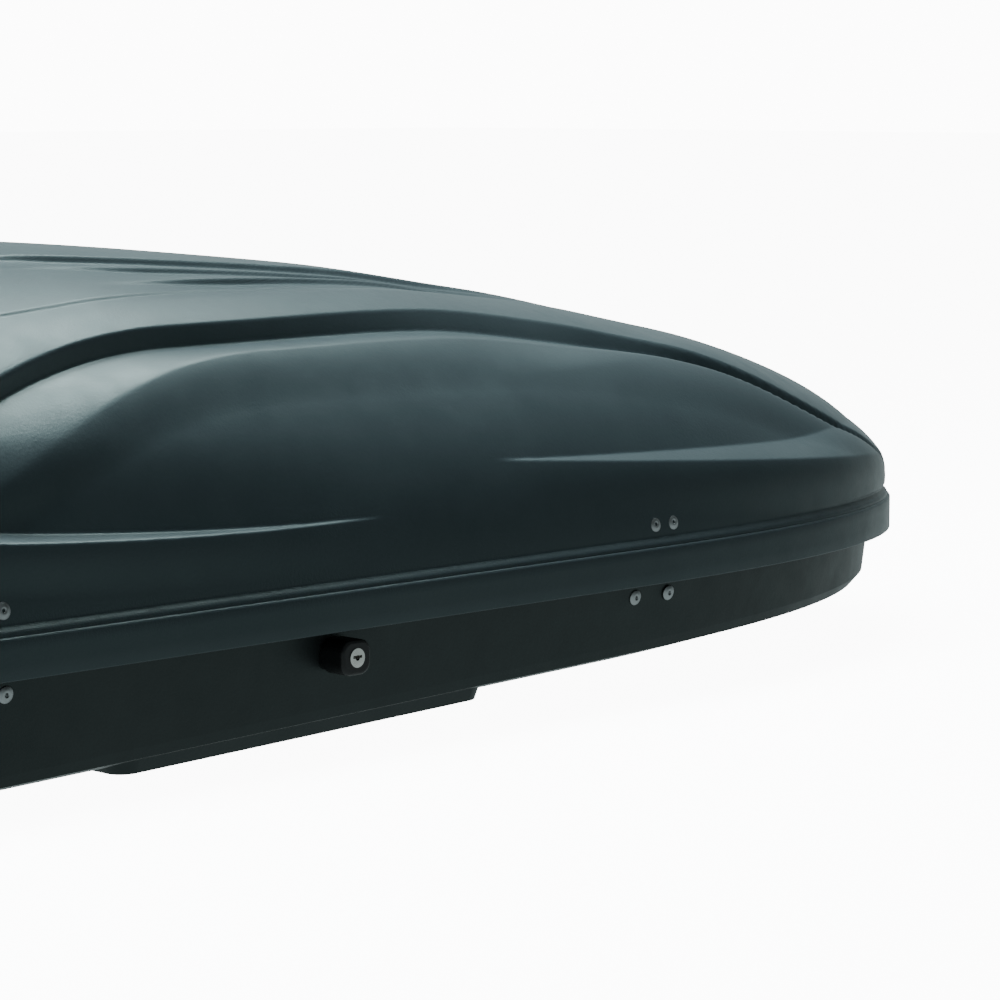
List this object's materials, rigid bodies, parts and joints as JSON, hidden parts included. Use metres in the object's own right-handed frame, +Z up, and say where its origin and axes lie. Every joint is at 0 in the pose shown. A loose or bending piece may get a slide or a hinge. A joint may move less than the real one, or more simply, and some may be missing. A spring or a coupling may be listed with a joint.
{
  "type": "roof cargo box",
  "caption": "Hard-shell roof cargo box with a side-hinged lid, a central lock driving two catches, telescopic lid stays and slotted crossbar pads.",
  "frame": {"origin": "centre of the U-bolt slot pattern, in the plane of the load plates' upper faces", "axes": "+X towards the nose, +Y towards the hinge side, +Z up"},
  "size_m": [2, 0.7826, 0.4585],
  "materials": {
    "lid_plastic": "satin anthracite sheet with a fine pebble grain",
    "base_plastic": "near-black sheet with a fine pebble grain",
    "black_plastic": "moulded black",
    "stiffener_plastic": "moulded dark grey",
    "zinc_steel": "zinc plated",
    "bright_steel": "bright drawn",
    "black_steel": "black powder coat",
    "rivet_metal": "grey anodised blind rivet",
    "key_metal": "nickel plated"
  },
  "bodies": {
    "base": {"base_shell": "base_plastic", "load_plate_front_near": "zinc_steel", "load_plate_front_far": "zinc_steel", "load_plate_rear_near": "zinc_steel", "load_plate_rear_far": "zinc_steel", "catch_housing_front": "black_plastic", "catch_housing_rear": "black_plastic", "rod_guides": "black_plastic", "base_rivets": "rivet_metal", "hinge_base_leaves": "zinc_steel", "hinge_pins": "bright_steel", "hinge_base_rivets": "rivet_metal", "stay_floor_bracket_front": "black_steel", "stay_floor_bracket_rear": "black_steel", "lock_escutcheon": "black_plastic", "lock_backplate": "black_plastic"},
    "lid": {"lid_shell": "lid_plastic", "lid_stiffener_front": "stiffener_plastic", "lid_stiffener_rear": "stiffener_plastic", "striker_front": "zinc_steel", "striker_rear": "zinc_steel", "striker_pins": "bright_steel", "lid_rivets": "rivet_metal", "hinge_lid_leaves": "zinc_steel", "hinge_lid_rivets": "rivet_metal", "stay_lid_bracket_front": "black_steel", "stay_lid_bracket_rear": "black_steel"},
    "tube_front": {"stay_tube_front": "black_steel"},
    "tube_rear": {"stay_tube_rear": "black_steel"},
    "rod_front": {"stay_rod_front": "bright_steel"},
    "rod_rear": {"stay_rod_rear": "bright_steel"},
    "knob": {"lock_knob": "black_plastic", "lock_cam": "zinc_steel", "cam_screw": "bright_steel"},
    "key": {"key_cylinder": "key_metal"},
    "latch": {"latch_rod": "zinc_steel", "catch_hook_front": "zinc_steel", "catch_hook_rear": "zinc_steel"}
  },
  "joints": [
    {"name": "lid_hinge", "type": "hinge", "parent": "base", "child": "lid", "pos_m": [0, 0.374, 0.1], "axis": [-1, 0, 0], "range_deg": [0, 50]},
    {"name": "knob_turn", "type": "hinge", "parent": "base", "child": "knob", "pos_m": [-0.013, -0.372, 0.066], "axis": [0, 1, 0], "range_deg": [0, 90]},
    {"name": "key_turn", "type": "hinge", "parent": "knob", "child": "key", "pos_m": [-0.013, -0.386, 0.066], "axis": [0, 1, 0], "range_deg": [0, 90]},
    {"name": "latch_slide", "type": "slide", "parent": "base", "child": "latch", "axis": [1, 0, 0], "range_m": [0, 0.02121]},
    {"name": "stay_swing_front", "type": "hinge", "parent": "base", "child": "tube_front", "pos_m": [0.55, 0.26142, 0.035], "axis": [-1, 0, 0], "range_deg": [0, 25]},
    {"name": "stay_slide_front", "type": "slide", "parent": "tube_front", "child": "rod_front", "axis": [0, 0.3007, 0.9537], "range_m": [0, 0.05628]},
    {"name": "stay_swing_rear", "type": "hinge", "parent": "base", "child": "tube_rear", "pos_m": [-0.59, 0.26142, 0.035], "axis": [-1, 0, 0], "range_deg": [0, 25]},
    {"name": "stay_slide_rear", "type": "slide", "parent": "tube_rear", "child": "rod_rear", "axis": [0, 0.3007, 0.9537], "range_m": [0, 0.05628]}
  ],
  "couplings": [
    {"joint": "knob_turn", "follows": "latch_slide", "rad_per_m": 74.048},
    {"joint": "stay_swing_front", "follows": "lid_hinge", "ratio": 0.5},
    {"joint": "stay_slide_front", "follows": "lid_hinge", "m_per_rad": 0.064486},
    {"joint": "stay_swing_rear", "follows": "lid_hinge", "ratio": 0.5},
    {"joint": "stay_slide_rear", "follows": "lid_hinge", "m_per_rad": 0.064486}
  ]
}
